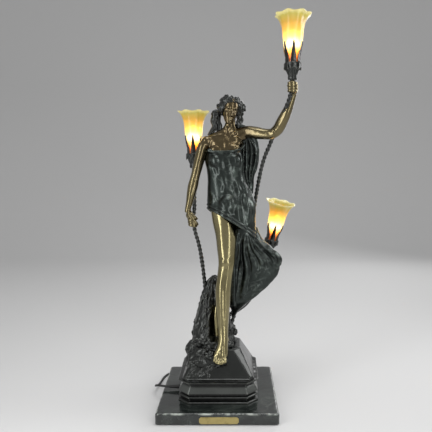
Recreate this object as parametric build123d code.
"""Figural table lamp: a draped standing figure on a rock, holding up one lily-shaped light, with two more lilies
on twisted stems beside it, a stepped plinth and a marble slab. One STEP file is written for each piece.

Millimetres. +Z is up, the viewer stands at -Y with +X to the right, and the origin is the middle of the underside.
Left and right are the viewer's, except in the names of the arms, which are the figure's own.
"""
from build123d import *
import math
import os

# ---------------------------------------------------------------- driving dimensions
# slab and felt
slab_side = 254.0
slab_thick = 23.0
slab_corner = 6.0
slab_edge = 2.2
felt_thick = 1.5
felt_inset = 5.0

# plinth: a square moulding with cut corners, under a tapering block
plinth_half = 86.0
plinth_height = 105.5
plinth_cut = 23.0
plinth_wall = 5.0
moulding_height = 47.0
block_foot = 55.0
block_half_low = 74.0
block_half_top = 47.0
block_cut = 9.0
bolt_boss_r = 7.5

# fixings
bolt_r = 3.0
bolt_head_r = 5.5
bolt_head_height = 4.0
bolt_reach = 15.0
washer_r = 7.5
washer_thick = 1.2
counterbore_depth = 8.0
stud_length = 44.0
stud_y = -12.0
nut_height = 5.0
dowel_r = 2.0
dowel_length = 14.0
casting_wall = 4.0
hip_height = 296.0
web_thick = 6.0

# nameplate, left bare
plate_length = 81.0
plate_height = 14.4
plate_thick = 1.0
plate_centre_x = 3.6
plate_centre_z = 10.8
plate_notch_r = 2.6
pin_r = 0.9
pin_head_r = 1.5
pin_length = 6.0

# twisted stems, and the leads in them
stem_r = 4.3
stem_bore_r = 2.6
lead_r = 1.7
grip_clear = 0.05

# lily: heights are measured up its own axis from the foot of its cup
cup_foot_r = 8.5
cup_rim_r = 16.3
cup_rim_z = 33.0
cup_wall = 1.6
cup_floor_z = 12.0
sepal_count = 6
sepal_tip_z = 73.0
sepal_width = 13.0
sepal_thick = 1.5
sepal_clear = 1.1
holder_r = 9.2
holder_height = 28.0
holder_flange_r = 12.6
holder_flange_z = 24.0
holder_flange_thick = 1.8
thread_r = 6.0
glass_foot_z = 26.1
glass_neck_r = 13.0
glass_wall = 1.9
glass_flange_thick = 2.0
glass_neck_z = 45.0
bell_low_r = 17.4
bell_low_z = 62.0
bell_middle_r = 20.0
bell_middle_z = 80.0
bell_high_r = 23.6
bell_high_z = 106.0
glass_turn_z = 121.5
glass_rim_r = 38.3
glass_rim_z = 129.0
ring_thick = 4.0
ring_width = 1.5
bulb_r = 12.5
bulb_neck_r = 6.3
bulb_belly_z = 69.0
bulb_tip_z = 98.0
cap_length = 17.0

# cord, switch and plug
cord_r = 2.5
cord_exit_z = 7.5
cord_exit_y = -12.0
bushing_length = 24.0
bushing_flange_r = 5.2
bushing_flange_thick = 2.0
bushing_tip_r = 3.3
bushing_inside = 8.0
coil_turns = 8
coil_layers = 2
coil_mean_r = 28.7
coil_pitch = 5.6
coil_lift = 1.2
switch_length = 60.0
switch_width = 25.0
switch_height = 17.0
switch_wall = 1.8
switch_behind = 8.5
switch_start_x = -85.0
rocker_length = 20.0
rocker_width = 11.0
rocker_tilt = 9.0
rocker_pin_r = 1.2
rocker_proud = 2.4
cheek_thick = 2.6
tail_length = 32.0
plug_length = 40.0
plug_width = 24.0
blade_length = 16.0
blade_width = 6.3
blade_thick = 1.5
blade_spacing = 12.7

# clearances
fit = 0.05
loose = 0.3

# ---------------------------------------------------------------- worked out from them
marble_top = felt_thick + slab_thick
plinth_top = marble_top + plinth_height
stem_places = [(24.0, 14.0), (-26.0, 14.0), (3.0, 14.0)]
terminal_size = (72.0, 50.0, 16.0)
X_AXIS, Y_AXIS, Z_AXIS = Vector(1, 0, 0), Vector(0, 1, 0), Vector(0, 0, 1)
FULL = 400.0


def at(x, y, z):
    """A point whose height is measured from the top of the plinth, where the figure stands."""
    return Vector(x, y, z + plinth_top)


def write(name, shape):
    """Write one piece, made of one or more solids."""
    solids = shape.solids() if hasattr(shape, "solids") else list(shape)
    assert solids, name
    export_step(Compound(children=list(solids)) if len(solids) > 1 else solids[0], f"parts/{name}.step")
    print(name, len(solids), round(sum(s.volume for s in solids)))


def largest(shape):
    """The biggest solid of a cut, without the crumbs."""
    return max(shape.solids(), key=lambda s: s.volume)


def disc(radius, low, high, x=0.0, y=0.0):
    """An upright cylinder between two heights."""
    return Pos(x, y, low) * Cylinder(radius, high - low, align=(Align.CENTER, Align.CENTER, Align.MIN))


def block(x0, x1, y0, y1, z0, z1):
    """A box between two corners."""
    return Pos((x0 + x1) / 2, (y0 + y1) / 2, (z0 + z1) / 2) * Box(x1 - x0, y1 - y0, z1 - z0)


def hexagon(across_r, low, high, x=0.0, y=0.0):
    """An upright hexagonal prism."""
    return extrude(Pos(x, y, low) * RegularPolygon(across_r, 6), high - low)


def limb(stations, level=False, thinner=0.0):
    """A smooth form through oval sections: each station is x, y, height, half width and half depth."""
    centres = [at(x, y, z) for x, y, z, _, _ in stations]
    faces = []
    for i, (_, _, _, rx, ry) in enumerate(stations):
        along = Z_AXIS
        if not level:
            before = centres[max(i - 1, 0)]
            after = centres[min(i + 1, len(centres) - 1)]
            along = after - before
        across = X_AXIS if abs(along.normalized().X) < 0.8 else Y_AXIS
        plane = Plane(origin=centres[i], x_dir=across, z_dir=along.normalized())
        faces.append(plane * Ellipse(rx - thinner, ry - thinner))
    return largest(loft(faces))


def ball(x, y, z, r):
    """A ball at a place on the figure."""
    return Pos(*at(x, y, z)) * Sphere(r)


# ---------------------------------------------------------------- tubes
def corner_radii(points):
    """The largest arc at each corner of a route: 0.45 of the shorter run over the tangent of half the turn."""
    radii = []
    for a, b, c in zip(points, points[1:], points[2:]):
        turn = math.radians((b - a).get_angle(c - b))
        radii.append(0.45 * min((b - a).length, (c - b).length) / math.tan(turn / 2))
    return radii


def route(points):
    """Straight runs joined by tangent arcs."""
    return FilletPolyline(*points, radius=corner_radii(points))


def tube(path, radius):
    """A round solid along a route."""
    start = Plane(origin=path @ 0, z_dir=path % 0)
    return sweep(start * Circle(radius), path=path)


def report_cord(name, points, path, solid):
    """Print a cord's bends, and compare its volume with its section times its length."""
    section = math.pi * cord_r ** 2
    print(name, "length", round(path.length, 1), "radii", [round(r, 1) for r in corner_radii(points)],
          "volume ratio", round(solid.volume / (section * path.length), 5))


# ---------------------------------------------------------------- slab, felt and nameplate
def bolt_places():
    """Where the four bolts stand: as far out as the plinth's cut corners allow."""
    out = (2 * plinth_half - plinth_cut) / 2 - (plinth_wall + bolt_boss_r + 3.0) / math.sqrt(2)
    return [(sx * out, sy * out) for sx in (-1, 1) for sy in (-1, 1)]


def marble_slab():
    slab = block(-slab_side / 2, slab_side / 2, -slab_side / 2, slab_side / 2, felt_thick, marble_top)
    slab = fillet(slab.edges().filter_by(Axis.Z), slab_corner)
    slab = fillet(slab.faces().sort_by(Axis.Z)[-1].edges(), slab_edge)
    for x, y in bolt_places():
        slab -= disc(washer_r + 0.5, felt_thick - 1, felt_thick + counterbore_depth, x, y)
        slab -= disc(bolt_r + loose, felt_thick, marble_top + 1, x, y)
    for x in pin_places():
        slab -= Pos(x, -slab_side / 2, plate_centre_z) * Rot(90, 0, 0) * Cylinder(pin_r + fit, 2 * pin_length + 2)
    return slab


def base_felt():
    side = slab_side / 2 - felt_inset
    felt = block(-side, side, -side, side, 0, felt_thick)
    return fillet(felt.edges().filter_by(Axis.Z), slab_corner)


def pin_places():
    half = plate_length / 2 - plate_notch_r - 3.0
    return [plate_centre_x - half, plate_centre_x + half]


def nameplate():
    sketch = RectangleRounded(plate_length, plate_height, 5.0)
    for side in (-1, 1):
        for up in (-1, 1):
            sketch -= Pos(side * plate_length / 2, up * plate_height / 2) * Circle(plate_notch_r)
    for x in pin_places():
        sketch -= Pos(x - plate_centre_x, 0) * Circle(pin_r + fit)
    front = Plane(origin=(plate_centre_x, -slab_side / 2, plate_centre_z), x_dir=(1, 0, 0), z_dir=(0, -1, 0))
    return extrude(front * sketch, plate_thick)


def nameplate_pins():
    pins = []
    face = -slab_side / 2 - plate_thick
    for x in pin_places():
        shank = Pos(x, face, plate_centre_z) * Rot(-90, 0, 0) * disc(pin_r, 0, pin_length)
        head = Pos(x, face, plate_centre_z) * Rot(90, 0, 0) * disc(pin_head_r, 0, 0.7)
        pins.append(largest(shank + head))
    return pins


# ---------------------------------------------------------------- plinth and its fixings
def moulding_outline(shift):
    """Half of the moulding's section, from its middle out: base, two beads, a round band, a hollow and a lip."""
    w = plinth_half + shift
    top = moulding_height
    line = Polyline((0, 0), (w, 0), (w, 3), (w - 2, 3))
    line += ThreePointArc((w - 2, 3), (w, 6), (w - 2, 9))
    line += Polyline((w - 2, 9), (w - 3.5, 10), (w - 3.5, 12))
    line += ThreePointArc((w - 3.5, 12), (w - 0.5, 15.5), (w - 3.5, 19))
    line += Polyline((w - 3.5, 19), (w - 5, 20), (w - 5, 22))
    line += ThreePointArc((w - 5, 22), (w - 0.6, 28), (w - 4.5, 34))
    line += ThreePointArc((w - 4.5, 34), (w - 4.8, 39), (w, top - 3))
    line += Polyline((w, top - 3), (w, top), (0, top), (0, 0))
    return line


def moulding_run(shift, turn):
    """The moulding as a bar that runs right through, turned about the middle."""
    half = make_face(moulding_outline(shift).edges())
    both = half + mirror(half, Plane.YZ)
    bar = extrude(Plane(origin=(0, 0, marble_top), x_dir=(1, 0, 0), z_dir=(0, -1, 0)) * both, FULL / 2, both=True)
    return Rot(0, 0, turn) * bar


def octagon(half, cut, z):
    """A square with cut corners."""
    a, b = half, half - cut
    corners = [(a, b), (b, a), (-b, a), (-a, b), (-a, -b), (-b, -a), (b, -a), (a, -b)]
    return Pos(0, 0, z) * make_face(Polyline(*corners, close=True).edges())


def taper(low, high, cut, z0, z1):
    """A tapering block with cut corners."""
    return loft([octagon(low, cut, z0), octagon(high, cut, z1)], ruled=True)


def plinth_block():
    """The tapering block over the moulding, with the square step that it stands on."""
    z0, z1 = marble_top + moulding_height, marble_top + block_foot
    step = extrude(octagon(block_half_low + 3, block_cut + 3, z0), (z1 - z0) * 0.55)
    cove = taper(block_half_low + 1, block_half_low, block_cut, z0, z1)
    return step + cove + taper(block_half_low, block_half_top, block_cut, z1, plinth_top)


def plinth():
    corner = plinth_half * (math.sqrt(2) - 1) - plinth_cut / math.sqrt(2)
    body = moulding_run(0, 0) & moulding_run(0, 90) & moulding_run(corner, 45) & moulding_run(corner, 135)
    body += plinth_block()
    inner = plinth_half - plinth_wall - 5.0
    hollow_top = marble_top + moulding_height
    body -= extrude(octagon(inner, plinth_cut - 3, marble_top - 1), moulding_height - 5)
    top_inside = plinth_top - plinth_wall
    body -= taper(block_half_low - 8, block_half_top - 6, block_cut, hollow_top - 7, top_inside)
    for x, y in bolt_places():
        boss = disc(bolt_boss_r, marble_top, hollow_top - 5, x, y)
        body += boss
        body -= disc(bolt_r + fit, marble_top - 1, marble_top + bolt_reach + 3, x, y)
    body -= disc(bolt_r + fit, top_inside - 1, plinth_top + 1, 0, stud_y)
    for x, y in stem_places:
        body -= disc(lead_r + 1.5, top_inside - 1, plinth_top + 1, x, y)
    body -= Pos(-plinth_half, cord_exit_y, marble_top + cord_exit_z) * Rot(0, 90, 0) * Cylinder(
        cord_r + 1.5 + fit, 60)
    return largest(body)


def plinth_bolts():
    bolts = []
    seat = felt_thick + counterbore_depth - washer_thick
    for x, y in bolt_places():
        head = hexagon(bolt_head_r, seat - bolt_head_height, seat, x, y)
        bolts.append(largest(head + disc(bolt_r, seat, marble_top + bolt_reach, x, y)))
    return bolts


def plinth_washers():
    seat = felt_thick + counterbore_depth
    return [largest(disc(washer_r, seat - washer_thick, seat, x, y)
                    - disc(bolt_r + loose, seat - 3, seat + 1, x, y)) for x, y in bolt_places()]


def mound_stud():
    top = plinth_top + stud_length / 2
    return disc(bolt_r, top - stud_length, top, 0, stud_y)


def mound_nut():
    """A flanged nut under the plinth's top."""
    top = plinth_top - plinth_wall
    nut = hexagon(bolt_head_r, top - nut_height, top, 0, stud_y) + disc(washer_r, top - 1.5, top, 0, stud_y)
    return nut - disc(bolt_r + fit, top - nut_height - 1, top + 1, 0, stud_y)


# ---------------------------------------------------------------- lilies
class Lily:
    """A lily light: where the foot of its cup is, and which way it points."""

    def __init__(self, foot, direction):
        self.foot = foot
        self.up = Vector(*direction).normalized()
        self.place = Plane(origin=foot, x_dir=(1, 0, 0), z_dir=self.up).location

    def put(self, shape):
        return self.place * shape


lilies = [
    Lily(at(152.3, -84.0, 570.0), (0, 0, 1)),
    Lily(at(-58.6, 42.0, 396.0), (0, 0, 1)),
    Lily(at(120.0, 112.0, 192.0), (27.1, -20.0, 126.0)),
]


def turned(outline):
    """A solid turned about the lily's axis from a section of lines and curves."""
    face = Plane.XZ * make_face(outline.edges())
    return revolve(face, Axis.Z)


def glass_curve(out=0.0, low=glass_foot_z):
    """The outside of the glass from its neck to its flared rim, moved out by a little."""
    neck = (glass_neck_r + out, glass_neck_z)
    points = [neck, (bell_low_r + out, bell_low_z), (bell_middle_r + out, bell_middle_z),
              (bell_high_r + out, bell_high_z), (glass_rim_r * 0.78 + out, glass_turn_z),
              (glass_rim_r + out * 0.4, glass_rim_z)]
    return Line((glass_neck_r + out, low), neck), Spline(points, tangents=[(0.12, 1), (1, 0.45)])


def shade():
    """The blown shade: a straight neck with an inturned foot, and a trumpet that opens to the rim."""
    outer_neck, outer_bell = glass_curve()
    inner_neck, inner_bell = glass_curve(-glass_wall, glass_foot_z + glass_flange_thick)
    hole = holder_r + 0.4
    foot = glass_foot_z
    outline = outer_neck + outer_bell + inner_neck + inner_bell
    outline += Line(outer_bell @ 1, inner_bell @ 1)
    outline += Polyline(inner_neck @ 0, (hole, foot + glass_flange_thick), (hole, foot), (outer_neck @ 0))
    return largest(turned(outline))


def cup_outline_r(z):
    """The cup's outer radius at a height."""
    share = z / cup_rim_z
    return cup_foot_r + (cup_rim_r - cup_foot_r) * math.sin(share * math.pi / 2) ** 1.1


def calyx():
    """The cast cup, closed by its pointed sepals that lie along the glass."""
    steps = [cup_rim_z * i / 6 for i in range(7)]
    outer = Spline([(cup_outline_r(z), z) for z in steps])
    rim_in = cup_rim_r - cup_wall
    inner = Spline([(cup_outline_r(z) - cup_wall, z) for z in (cup_floor_z, 19.0, 26.0, cup_rim_z)])
    outline = Line((0, 0), (cup_foot_r, 0)) + outer + Line((cup_rim_r, cup_rim_z), (rim_in, cup_rim_z)) + inner
    outline += Polyline(inner @ 0, (0, cup_floor_z), (0, 0))
    cup = largest(turned(outline))
    cup -= disc(stem_r + fit, -1, cup_floor_z - 5)
    cup -= disc(stem_bore_r, -1, cup_floor_z + 1)
    for sepal in sepals():
        cup += sepal
    return largest(cup)


def sepals():
    """Pointed blades cut from a thin bell just outside the glass."""
    neck = (glass_neck_r + sepal_clear, glass_neck_z)
    inside = Line((neck[0], cup_rim_z - 6), neck) + Spline(
        [neck, (bell_low_r + sepal_clear, bell_low_z), (bell_middle_r + sepal_clear, bell_middle_z)],
        tangents=[(0.12, 1), (0.12, 1)])
    bell = largest(turned(inside + offset_wall(inside, sepal_thick)))
    low = cup_rim_z - 4.0
    half = sepal_width / 2
    blades = []
    for i in range(sepal_count):
        edge = Spline([(half, low), (half * 0.86, glass_neck_z), (0, sepal_tip_z)])
        other = Spline([(-half, low), (-half * 0.86, glass_neck_z), (0, sepal_tip_z)])
        leaf = make_face((edge + other + Line((-half, low), (half, low))).edges())
        prism = extrude(Plane(origin=(0, 0, 0), x_dir=(1, 0, 0), z_dir=(0, -1, 0)) * leaf, 60)
        blades.append(largest(Rot(0, 0, (i + 0.5) * 360 / sepal_count) * prism & bell))
    return blades


def offset_wall(inside, thick):
    """The outer side and the two ends of a thin wall whose inner side is given."""
    neck, bell = inside.edges()
    outer_neck = Line((neck @ 0) + (thick, 0, 0), (neck @ 1) + (thick, 0, 0))
    outer_bell = Spline([(bell @ 0) + (thick, 0, 0), (bell @ 0.5) + (thick, 0, 0), (bell @ 1) + (thick, 0, 0)],
                        tangents=[(0.12, 1), (0.12, 1)])
    ends = Line(neck @ 0, outer_neck @ 0) + Line(bell @ 1, outer_bell @ 1)
    return outer_neck + outer_bell + ends


def lampholder():
    """The candle lampholder: an insulating barrel with a flange that the glass stands on."""
    top = cup_floor_z + holder_height
    barrel = disc(holder_r, cup_floor_z, top)
    barrel += disc(holder_flange_r, holder_flange_z, holder_flange_z + holder_flange_thick)
    barrel -= disc(thread_r, top - cap_length - 0.5, top + 1)
    barrel -= disc(lead_r + 0.6, cup_floor_z - 1, cup_floor_z + 6)
    return largest(barrel)


def shade_ring():
    """The threaded ring that holds the glass's foot down."""
    low = glass_foot_z + glass_flange_thick + fit
    return disc(holder_r + fit + ring_width, low, low + ring_thick) - disc(holder_r + fit, low - 1, low + ring_thick + 1)


def bulb_cap():
    """The bulb's screw cap with its centre contact."""
    top = cup_floor_z + holder_height
    low = top - cap_length
    cap = disc(thread_r - fit, low + 2, top + 1.0)
    return cap + disc(3.0, low, low + 2)


def bulb_glass():
    """The flame-shaped bulb."""
    low = cup_floor_z + holder_height + 1.0
    side = Spline([(bulb_neck_r, low), (bulb_r, bulb_belly_z), (0.6, bulb_tip_z)],
                  tangents=[(0.1, 1), (-0.25, 1)])
    outline = Line((0, low), (bulb_neck_r, low)) + side
    outline += Polyline(side @ 1, (0, bulb_tip_z), (0, low))
    return largest(turned(outline))


# ---------------------------------------------------------------- stems and the leads in them
def stem_routes():
    """The three stems, from the lily's cup down to the rock."""
    routes = []
    down = [
        [at(144, -73, 522), at(133, -50, 498), at(123, -14, 474), at(113, 4, 446), at(101, 12, 418),
         at(91, 19, 376), at(84, 34, 332), at(76, 47, 280), at(64, 51, 220), at(52, 46, 150), at(45, 36, 85),
         at(30, 22, 45)],
        [at(-56, 30, 345), at(-55, 13, 305), at(-57.5, 2, 280), at(-54, 0, 255), at(-44.5, 3, 225),
         at(-37, 8, 176), at(-31, 11, 118)],
        [at(105, 120, 130), at(91, 110, 97), at(67, 82, 66), at(38, 52, 54), at(12, 26, 47)],
    ]
    for lily, points, (x, y) in zip(lilies, down, stem_places):
        top = lily.foot + lily.up * (cup_floor_z - 5)
        routes.append([top, lily.foot - lily.up * 16] + points + [at(x, y, 22), at(x, y, 4)])
    return routes


def stem(points):
    """A twisted stem: a pipe that carries its lead."""
    path = route(points)
    print("stem length", round(path.length), "radii", [round(r) for r in corner_radii(points)])
    return largest(tube(path, stem_r) - tube(path, stem_bore_r))


def lead(points):
    """The lead in a stem, from the lampholder to the terminal block."""
    lily_end = points[0] + (points[0] - points[1]).normalized() * 11.0
    x, y = points[-1].X, points[-1].Y
    run = [lily_end] + points[1:-1] + [Vector(x, y, marble_top + terminal_size[2])]
    return largest(tube(route(run), lead_r))


def terminal_block():
    """The block in the plinth where the cord meets the three leads."""
    length, width, height = terminal_size
    body = block(-length / 2, length / 2, -width / 2, width / 2, marble_top, marble_top + height)
    return fillet(body.edges().filter_by(Axis.Z), 2.0)


# ---------------------------------------------------------------- the figure
def rock_mound_raw():
    """The rock: a leaning trunk of stone that spills over the plinth's left side."""
    trunk = limb([(-14, 2, -2, 46, 44), (-15, 3, 26, 46, 41), (-15, 5, 60, 38, 33), (-14, 7, 92, 29, 25),
                  (-16, 9, 120, 20, 17), (-13, 11, 146, 9, 9), (-10, 12, 154, 4, 4)], level=True)
    for x, y, z, r in [(-54, -8, -12, 22), (-60, -6, -40, 16), (30, 4, -2, 13), (24, 18, 26, 15),
                       (-38, -20, 10, 18), (-30, 30, 20, 18), (6, 34, 0, 16), (8, -40, -2, 15)]:
        trunk += ball(x, y, z, r)
    return trunk


def front_leg_raw():
    return limb([(22, -12, 305, 22, 21), (19.5, -24, 258, 22.5, 21), (16.5, -37, 214, 18.5, 18),
                 (15.5, -42, 190, 16.3, 16.5), (13.5, -41, 165, 15.6, 15.5), (11, -39, 130, 17.6, 18),
                 (10, -41, 80, 14.5, 15), (11, -46, 30, 10.5, 11), (9, -54, 8, 11, 12),
                 (6.5, -64, -8, 13, 8.5), (4, -74, -24, 12, 6.5), (3, -78, -29.5, 7, 4)]) - over_hips()


def rear_leg_raw():
    return limb([(46, 4, 305, 20, 18), (48, 10, 258, 20, 19), (42, 15, 205, 17.5, 17.5), (26, 15, 160, 16.5, 16.5),
                 (8, 11, 105, 15.5, 15.5), (-3, 8, 66, 13, 13), (-8, 7, 38, 9.5, 9.5), (-9, 8, 20, 9, 9)]) - over_hips()


def over_hips():
    """Everything above the web that the legs stand under."""
    return block(-FULL, FULL, -FULL, FULL, plinth_top + hip_height, plinth_top + FULL * 2)


def dress_raw(thinner=0.0):
    return limb([(14, 0, 434, 36, 23), (13, -4, 416, 40, 28), (15, -1, 390, 40, 25), (20, 0, 364, 39, 24),
                 (27, 0, 336, 49, 30), (29, -5, 308, 53, 37), (31, -8, 278, 51, 40), (38, -6, 246, 46, 38),
                 (46, -2, 222, 40, 34)], level=True, thinner=thinner)


def torso_raw():
    return limb([(14, 0, 434, 35.5, 22.5), (12, 1, 450, 43, 20), (12.5, 3, 462, 42, 17), (17, 4, 472, 33, 15),
                 (23, 3, 482, 17, 13.5), (25.5, 0, 492, 12.5, 13), (26.5, -1, 499, 12, 12.5)], level=True)


def hem_plane_cutter():
    """Everything under the slanting hem, which drops from the figure's right hip to the viewer's right."""
    slope = Plane(origin=at(20.0, 0, 275.0), x_dir=(1, 0, -0.62), z_dir=Vector(0.62, 0.18, 1).normalized())
    return extrude(slope * Rectangle(FULL, FULL), -FULL / 2)


def billow_raw():
    """The blown skirt: a broad lobe that flies out to the viewer's right and narrows to a tail."""
    return limb([(52, 8, 262, 34, 27), (62, 9, 240, 45, 26), (78, 11, 212, 55, 23), (86, 11, 186, 53, 20),
                 (84, 10, 160, 48, 16), (73, 9, 132, 37, 11), (61, 8, 108, 19, 9), (55, 7, 88, 5.5, 5)], level=True)


def cape_raw():
    """The cloth that hangs down the back from the figure's left shoulder."""
    return limb([(54, 15, 478, 9, 7), (62, 19, 456, 20, 9), (66, 22, 428, 25, 9), (70, 24, 396, 20, 8),
                 (76, 26, 366, 10, 6), (79, 27, 346, 4, 4)], level=True)


def head_raw():
    """The head with its bound hair: an egg, a fuller crown, a knot behind and locks on the neck."""
    skull = limb([(27, -8, 490, 6, 7), (26.5, -9, 497, 13, 14), (26, -8, 510, 18, 19), (25, -6, 524, 20, 22),
                  (24, -4, 538, 17, 20), (23, -3, 547, 7, 9)], level=True)
    crown = limb([(22, 4, 508, 22, 18), (22, 2, 522, 28, 24), (22, 0, 536, 25, 24), (22, 0, 548, 12, 12)], level=True)
    neck = limb([(26.5, -1, 499, 12, 12.5), (26, -2, 512, 12.5, 14)], level=True)
    knot = ball(-7, 14, 515, 11)
    lock = limb([(-2, 10, 508, 8, 8), (-7, 12, 492, 6, 6), (-12, 13, 474, 4, 4)], level=True)
    return skull + crown + neck + knot + lock


def arm_right_raw():
    """The lowered arm, and the hand that closes on the second stem."""
    arm = limb([(-24, 1, 456, 11, 12), (-33, -1, 444, 12, 13), (-41, -4, 420, 11.5, 12.5), (-50, -7, 386, 10.8, 11),
                (-56, -8, 360, 11, 10.5), (-63, -7, 325, 8.5, 8), (-68, -5, 303, 6.5, 6.5)])
    hand = limb([(-68, -5, 306, 6.8, 6.8), (-66, -3, 294, 9, 9), (-58, -1, 284, 10.5, 9.5), (-51, 0, 276, 6, 6)])
    return arm + hand


def arm_left_raw():
    """The raised arm, reaching forward and up, and the hand under the first lily."""
    arm = limb([(46, 2, 472, 13, 14), (60, -2, 474, 13.5, 13.5), (84, -13, 471, 12.8, 12.8), (108, -24, 467, 12.4, 12.2),
                (126, -34, 474, 12.2, 12), (138, -50, 497, 12, 11.5), (149, -66, 524, 9.5, 9), (156, -76, 545, 7.2, 7)])
    hand = limb([(156, -76, 540, 7.4, 7), (157, -80, 549, 9.5, 9), (154, -84, 557, 10.5, 9.5), (150, -85, 562, 7, 6)])
    return arm + hand


def hollow_dress(shell):
    """The casting is hollow, with a closed top that the body stands on and a web that stands on the legs."""
    top, web = plinth_top + 434.0 - 2 * casting_wall, plinth_top + hip_height
    inside = dress_raw(casting_wall) - block(-FULL, FULL, -FULL, FULL, top, top + FULL)
    inside -= block(-FULL, FULL, -FULL, FULL, web, web + web_thick)
    return largest(shell - inside)


def dowel_places():
    """Where castings are pinned: at the neck, at both shoulders and between body and dress."""
    return [(at(26.5, -1, 499), Vector(0, 0, 1)), (at(14, 0, 434), Vector(0, 0, 1))]


def dowel(place, along, grow=0.0):
    base = Plane(origin=place - along * (dowel_length / 2 + grow), z_dir=along)
    return base.location * disc(dowel_r + grow, 0, dowel_length + 2 * grow)


def figure(stem_paths):
    """Every casting of the figure and the rock, each cut to fit what it stands on or closes round."""
    sleeves = [tube(path, stem_r + grip_clear) for path in stem_paths]
    pins = [dowel(place, along, fit) for place, along in dowel_places()]
    front = front_leg_raw() - plinth_block()
    rear = largest(rear_leg_raw() - front)
    solid_dress = largest(dress_raw() - hem_plane_cutter())
    torso = torso_raw()
    pieces = {"leg_front": front}
    dress = largest(hollow_dress(solid_dress) - front - rear)
    pieces["dress"] = dress
    pieces["drapery_billow"] = billow_raw() - solid_dress - front - rear
    pieces["leg_rear"] = rear
    pieces["torso"] = torso
    pieces["head"] = head_raw() - torso
    pieces["arm_right"] = arm_right_raw() - torso - dress
    pieces["arm_left"] = arm_left_raw() - torso - dress
    pieces["cape"] = cape_raw() - torso - dress_raw() - arm_left_raw() - head_raw()
    mound = rock_mound_raw() - plinth_solid() - front - rear
    mound -= limb([(-14, 2, -4, 36, 30), (-13, 6, 40, 30, 26), (-12, 9, 84, 16, 14)], level=True)
    mound += disc(10, plinth_top, plinth_top + 40, 0, stud_y) - front - rear
    mound -= disc(bolt_r + fit, plinth_top - 1, plinth_top + stud_length / 2 + 2, 0, stud_y)
    for x, y in stem_places:
        mound -= disc(lead_r + 1.5, plinth_top - 1, plinth_top + 30, x, y)
    pieces["rock_mound"] = mound
    for name in pieces:
        for cutter in sleeves + pins:
            pieces[name] = pieces[name] - cutter
        pieces[name] = largest(pieces[name])
    return pieces


def plinth_solid():
    """The plinth's outside, filled, for cutting the rock to it."""
    low = block(-plinth_half, plinth_half, -plinth_half, plinth_half, marble_top, marble_top + moulding_height)
    return low + plinth_block()


# ---------------------------------------------------------------- cord, switch and plug
def cord_height():
    """The cord's middle where it lies on the floor."""
    return cord_r + 0.1


def switch_ends():
    """The middle of the switch's two ends, which lie along X, switch_behind clear of the slab's back edge."""
    start = Vector(switch_start_x, slab_side / 2 + switch_behind + switch_width / 2, switch_height / 2)
    return start, start + Vector(switch_length, 0, 0)


def bushing_tip():
    x = -plinth_half - bushing_flange_thick - bushing_length
    return Vector(x, cord_exit_y, marble_top + cord_exit_z)


def lead_points():
    """The cord from the terminal block, out over the slab's left edge, down and back to the switch."""
    tip = bushing_tip()
    floor = cord_height()
    end = switch_ends()[0]
    edge = Vector(-slab_side / 2, 0, tip.Z)
    corner = Vector(-slab_side / 2, slab_side / 2, floor)
    start = Vector(-terminal_size[0] / 2, cord_exit_y + 6, tip.Z)
    inside = Vector(-plinth_half + 26, cord_exit_y, tip.Z)
    over = [start, start - Vector(10, 0, 0), inside, tip - Vector(9, 0, 0), edge + Vector(-9.5, -7, 0.3),
            edge + Vector(-20, 6, -5.5), edge + Vector(-22.5, 24, -14), edge + Vector(-22, 45, -22.5)]
    down = [corner + Vector(-20.5, -61, 1), corner + Vector(-18.5, -39, 0), corner + Vector(-16, -17, 0),
            corner + Vector(-8, 4, 0)]
    return [*over, *down, end + Vector(-35, -3, floor + 0.3 - end.Z), end + Vector(-20, -1.2, -3.2),
            end - Vector(9, 0, 0), end]


def coil_centre():
    end = switch_ends()[1]
    out = coil_mean_r + coil_pitch * (coil_turns / coil_layers - 1) / 2
    return Vector(12.0, end.Y + out, coil_lift + cord_r + 0.2)


def coil_points():
    """Quarter-turn points of the coil: it spirals in, climbs a layer, and spirals out again."""
    half = coil_turns / coil_layers
    outer = coil_mean_r + coil_pitch * (half - 1) / 2
    low = coil_centre()
    climb_from, climb_to = half - 0.25, half + 0.25
    points = []
    for i in range(int(4 * (coil_turns + 0.25)) + 1):
        turn = i / 4
        inward = min(turn, 2 * half - turn)
        radius = outer - coil_pitch * (inward - 0.25)
        rise = min(1.0, max(0.0, (turn - climb_from) / (climb_to - climb_from)))
        angle = 2 * math.pi * turn - math.pi / 2
        points.append(low + Vector(radius * math.cos(angle), radius * math.sin(angle), coil_pitch * rise))
    return points


def coil_path():
    """The coil's points joined by pairs of tangent arcs, with a straight end one cord wide at each end."""
    points = coil_points()
    centre = coil_centre()
    tangents = []
    for i, p in enumerate(points):
        before, after = points[max(i - 1, 0)], points[min(i + 1, len(points) - 1)]
        ring = Vector(-(p.Y - centre.Y), p.X - centre.X, 0).normalized()
        chord = after - before
        drift = (chord - ring * chord.dot(ring)) * (0.5 if 0 < i < len(points) - 1 else 0.0)
        tangents.append((ring * chord.dot(ring) + drift).normalized())
    edges = [Line(points[0] - tangents[0] * 2 * cord_r, points[0])]
    for p, q, t, u in zip(points, points[1:], tangents, tangents[1:]):
        edges += biarc(p, t, q, u)
    edges.append(Line(points[-1], points[-1] + tangents[-1] * 2 * cord_r))
    return Wire([e for line in edges for e in line.edges()])


def biarc(p, t, q, u):
    """Two arcs that leave p along t, meet smoothly, and reach q along u."""
    v = q - p
    a = 2 * (1 - t.dot(u))
    b = 2 * v.dot(t + u)
    c = -v.dot(v)
    d = -c / b if abs(a) < 1e-9 else (-b + math.sqrt(b * b - 4 * a * c)) / (2 * a)
    middle = (p + t * d + q - u * d) * 0.5
    return [TangentArc(p, middle, tangent=t), TangentArc(q, middle, tangent=u * -1)]


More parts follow.
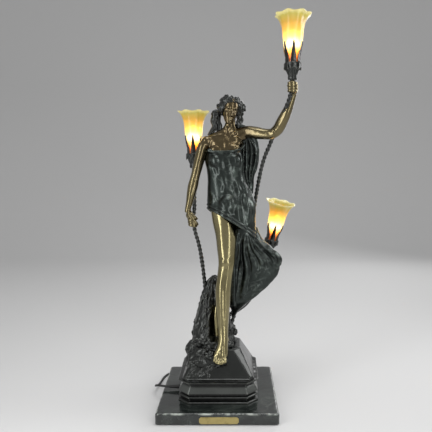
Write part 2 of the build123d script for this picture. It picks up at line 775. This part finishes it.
def coil_gap(path):
    """The coil's least gap to itself, measured between points along it that are over a third of a turn apart."""
    count = 1600
    step = path.length / count
    points = [path @ (i / count) for i in range(count + 1)]
    apart = int(coil_mean_r * 2 / step)
    least = min((points[i] - points[j]).length for i in range(0, count + 1, 3)
                for j in range(i + apart, count + 1, 2))
    return least - 2 * cord_r


def cord_pieces():
    """The cord's stretches and its coil."""
    pieces = {}
    points = lead_points()
    path = route(points)
    pieces["cord_lead"] = tube(path, cord_r)
    report_cord("cord_lead", points, path, pieces["cord_lead"])
    coil = coil_path()
    pieces["cord_coil"] = tube(coil, cord_r)
    print("coil length", round(coil.length, 1), "least gap", round(coil_gap(coil), 2),
          "volume ratio", round(pieces["cord_coil"].volume / (math.pi * cord_r ** 2 * coil.length), 5))
    start, end = coil @ 0, coil @ 1
    first = switch_ends()[1]
    link_points = [first, first + Vector(8.5, 0, 0), start - Vector(9, 0, 0), start]
    link = route(link_points)
    pieces["cord_link"] = tube(link, cord_r)
    report_cord("cord_link", link_points, link, pieces["cord_link"])
    tail = Line(end, end + (coil % 1) * tail_length)
    pieces["cord_tail"] = tube(tail, cord_r)
    outside = path.length - (bushing_tip() - points[0]).length
    print("cord outside the plinth", round(outside + link.length + coil.length + tail_length + switch_length))
    return pieces


def cord_bushing():
    """The strain relief: a barrel through the plinth's wall, a flange and a taper."""
    section = Polyline((cord_r + fit, -bushing_inside), (cord_r + 1.5, -bushing_inside), (cord_r + 1.5, 0),
                       (bushing_flange_r, 0),
                       (bushing_flange_r, bushing_flange_thick), (bushing_flange_r - 0.8, bushing_flange_thick + 0.6),
                       (bushing_tip_r, bushing_flange_thick + bushing_length),
                       (cord_r + fit, bushing_flange_thick + bushing_length), close=True)
    solid = revolve(Plane.XZ * make_face(section.edges()), Axis.Z)
    return Pos(-plinth_half, cord_exit_y, marble_top + cord_exit_z) * Rot(0, -90, 0) * solid


def coil_tie():
    """A band round the coil's bundle, on its far side."""
    centre = coil_centre()
    half = coil_turns / coil_layers
    inner = coil_mean_r - coil_pitch * (half - 1) / 2 - cord_r
    outer = coil_mean_r + coil_pitch * (half - 1) / 2 + cord_r
    gap, band, wide = 0.6, 0.8, 8.0
    low, high = centre.Z - cord_r - gap, centre.Z + cord_r + coil_pitch * (coil_layers - 1) + gap
    y0, y1 = centre.Y + inner - gap - 3.0, centre.Y + outer + gap
    around = block(centre.X - wide / 2, centre.X + wide / 2, y0 - band, y1 + band, low - band, high + band)
    return around - block(centre.X - wide, centre.X + wide, y0, y1, low, high)


def switch_shell():
    """The switch's outside: a rounded bar."""
    start, end = switch_ends()
    body = block(start.X, end.X, start.Y - switch_width / 2, start.Y + switch_width / 2, 0, switch_height)
    body = fillet(body.edges().filter_by(Axis.Z), 7.0)
    body = fillet(body.faces().sort_by(Axis.Z)[-1].edges(), 3.0)
    return fillet(body.faces().sort_by(Axis.Z)[0].edges(), 1.5)


def switch_middle():
    start, end = switch_ends()
    return (start + end) * 0.5


def switch_screw_places():
    middle = switch_middle()
    return [(middle.X - 20.0, middle.Y), (middle.X + 20.0, middle.Y)]


def switch_parts():
    """The in-line switch: two shells, a rocker on its pins, contacts and two screws."""
    shell = switch_shell()
    middle = switch_middle()
    pivot = rocker_pivot()
    split = switch_height / 2
    x, y = middle.X, middle.Y
    room_y = switch_width / 2 - switch_wall - 0.7
    room = block(x - 13.5, x + 13.5, y - room_y, y + room_y, switch_wall, switch_height - switch_wall)
    half_x, half_y = rocker_length / 2 + loose, rocker_width / 2 + loose
    window = block(x - half_x, x + half_x, y - half_y, y + half_y, split, switch_height + 5)
    above = block(-FULL, FULL, -FULL, FULL, split, FULL)
    cover = (shell & above) - room - window
    base = (shell & block(-FULL, FULL, -FULL, FULL, -1, split)) - room
    for side in (-1, 1):
        inner, outer = sorted((y + side * half_y, y + side * (half_y + cheek_thick)))
        cover += block(x - 4, x + 4, inner, outer, pivot.Z - 3, switch_height - switch_wall + 0.1)
    cover -= Pos(*pivot) * Rot(90, 0, 0) * Cylinder(rocker_pin_r + fit, rocker_width + 6)
    screw_seat = switch_height - 3.0
    for sx, sy in switch_screw_places():
        cover -= disc(1.2 + fit, 0, FULL, sx, sy)
        cover -= disc(2.6, screw_seat, FULL, sx, sy)
        base -= disc(1.2 + fit, 3.0, FULL, sx, sy)
    screws = [largest(disc(1.2, 4.0, screw_seat, sx, sy) + disc(2.4, screw_seat, screw_seat + 1.8, sx, sy))
              for sx, sy in switch_screw_places()]
    contacts = [block(x - 11, x + 11, y + s * 3.2 - 1.2, y + s * 3.2 + 1.2, switch_wall, switch_wall + 2.2)
                for s in (-1, 1)]
    return {"switch_cover": largest(cover), "switch_base": largest(base), "switch_rocker": rocker(),
            "switch_screws": screws, "switch_contacts": contacts}


def rocker_pivot():
    middle = switch_middle()
    return Vector(middle.X, middle.Y, switch_height - 4.0)


def rocker():
    """The rocker: a shallow V of plastic on two stub pins, pressed down at its -X end, which is on."""
    half = rocker_length / 2 - 0.8
    top = switch_height - rocker_pivot().Z + rocker_proud
    section = Polyline((-half, -1.0), (-half, top), (0, top - 1.6), (half, top), (half, -1.0), (3.0, -4.0),
                       (-3.0, -4.0), close=True)
    across = rocker_width - 2 * fit - 0.3
    plane = Plane(origin=(0, across / 2, 0), x_dir=(1, 0, 0), z_dir=(0, -1, 0))
    body = extrude(plane * make_face(section.edges()), across)
    pins = Rot(90, 0, 0) * Cylinder(rocker_pin_r, rocker_width + 2 * loose + 2 * cheek_thick - 0.4)
    return Pos(*rocker_pivot()) * Rot(0, -rocker_tilt, 0) * largest(body + pins)


def plug_start():
    path = coil_path()
    return (path @ 1) + (path % 1) * tail_length


def plug_body():
    """A flat two-pin plug, lying on its broad side."""
    p = plug_start()
    tall = 2 * p.Z
    neck = block(p.X - 5, p.X + 5, p.Y, p.Y + 9, p.Z - 4.5, p.Z + 4.5)
    body = block(p.X - plug_width / 2, p.X + plug_width / 2, p.Y + 8, p.Y + plug_length, p.Z - tall / 2, p.Z + tall / 2)
    body = fillet(body.edges().filter_by(Axis.Y), min(5.0, tall * 0.3))
    for side in (-1, 1):
        body -= blade(side)
    return largest(body + neck)


def blade(side):
    p = plug_start()
    x = p.X + side * blade_spacing / 2
    y0, y1 = p.Y + plug_length - 8, p.Y + plug_length + blade_length
    return block(x - blade_thick / 2, x + blade_thick / 2, y0, y1, p.Z - blade_width / 2, p.Z + blade_width / 2)


# ---------------------------------------------------------------- the whole lamp
def build():
    os.makedirs("parts", exist_ok=True)
    write("marble_slab", marble_slab())
    write("base_felt", base_felt())
    write("nameplate", nameplate())
    write("nameplate_pins", nameplate_pins())
    write("plinth", plinth())
    write("plinth_bolts", plinth_bolts())
    write("plinth_washers", plinth_washers())
    write("mound_stud", mound_stud())
    write("mound_nut", mound_nut())
    write("terminal_block", terminal_block())
    write("cord_bushing", cord_bushing())
    paths = []
    for number, points in enumerate(stem_routes(), 1):
        paths.append(route(points))
        write(f"stem_{number}", stem(points))
        write(f"stem_lead_{number}", lead(points))
    for number, lily in enumerate(lilies, 1):
        write(f"calyx_{number}", lily.put(calyx()))
        write(f"lampholder_{number}", lily.put(lampholder()))
        write(f"shade_{number}", lily.put(shade()))
        write(f"shade_ring_{number}", lily.put(shade_ring()))
        write(f"bulb_cap_{number}", lily.put(bulb_cap()))
        write(f"bulb_glass_{number}", lily.put(bulb_glass()))
    write("casting_dowels", [dowel(place, along).solid() for place, along in dowel_places()])
    for name, solid in figure(paths).items():
        write(name, solid)
    for name, solid in cord_pieces().items():
        write(name, solid)
    write("coil_tie", coil_tie())
    for name, solid in switch_parts().items():
        write(name, solid)
    write("plug_body", plug_body())
    write("plug_blades", [blade(-1), blade(1)])


build()
